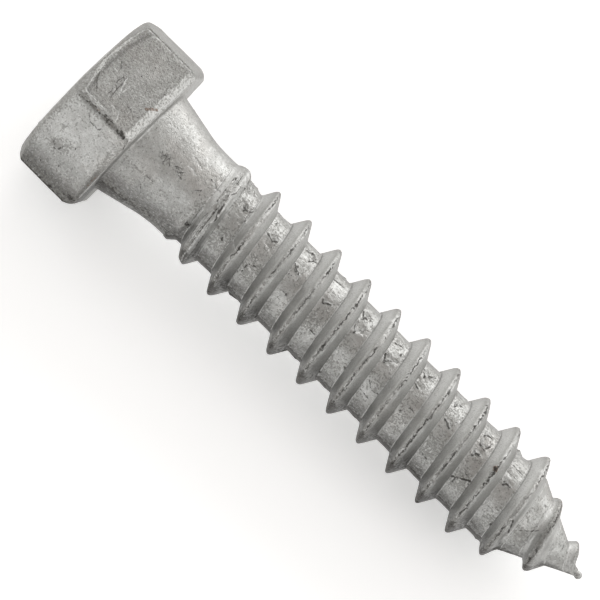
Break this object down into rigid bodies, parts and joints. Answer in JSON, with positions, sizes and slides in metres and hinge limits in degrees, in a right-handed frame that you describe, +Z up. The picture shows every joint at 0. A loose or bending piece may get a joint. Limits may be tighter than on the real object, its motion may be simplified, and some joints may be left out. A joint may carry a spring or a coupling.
{
  "type": "hex head lag bolt",
  "caption": "Hot-dip galvanised hex head lag bolt, half inch by two and a half inches, with a tapered shank, a coarse wood thread and a gimlet point.",
  "frame": {"origin": "middle of the box's underside, on the surface that the bolt lies on", "axes": "+X runs along the bolt from its head to its point, +Z is up; the bolt lies on one flat of its head and on a crest of its thread, so its own axis dips 3.3 degrees below +X"},
  "size_m": [0.071, 0.021, 0.0189],
  "materials": {
    "galvanised_steel": "hot-dip zinc coat, satin grey, mottled and pimpled, with scratches and small rust marks"
  },
  "bodies": {
    "root": {"lag_bolt": "galvanised_steel"}
  },
  "joints": []
}
